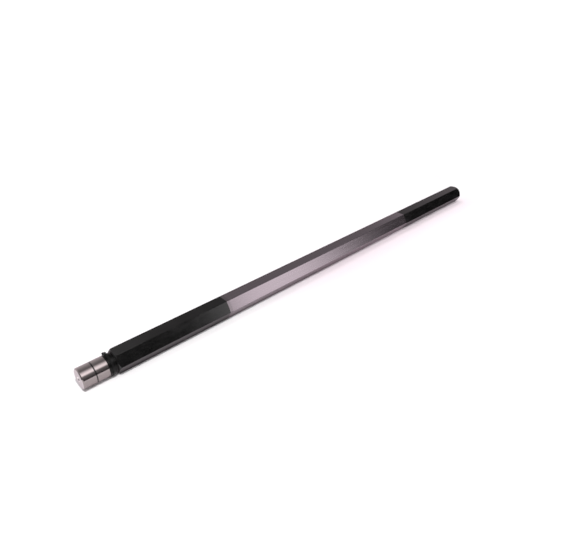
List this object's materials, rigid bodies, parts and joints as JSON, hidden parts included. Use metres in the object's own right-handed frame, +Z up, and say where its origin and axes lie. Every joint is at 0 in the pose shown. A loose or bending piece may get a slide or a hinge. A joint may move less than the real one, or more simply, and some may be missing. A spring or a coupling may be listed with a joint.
{
  "type": "hexagonal shaft",
  "caption": "Hexagonal steel drive shaft with a turned bearing journal, circlip groove, retaining ring and short end spigot.",
  "frame": {"origin": "middle of the shaft's length, on the hexagon's lower flat", "axes": "+X along the shaft from the journal towards the spigot, +Z up, across two flats of the hexagon"},
  "size_m": [0.7642, 0.031, 0.0283],
  "materials": {
    "shaft_steel": "ground steel in the middle and on the journal, black finish on both ends of the hexagon",
    "ring_steel": "black oiled spring steel"
  },
  "bodies": {
    "shaft": {"hex_shaft": "shaft_steel"},
    "ring": {"retaining_ring": "ring_steel"}
  },
  "joints": [
    {"name": "ring_turn", "type": "hinge", "parent": "shaft", "child": "ring", "pos_m": [-0.34758, 0, 0.0135], "axis": [1, 0, 0], "continuous": true}
  ]
}
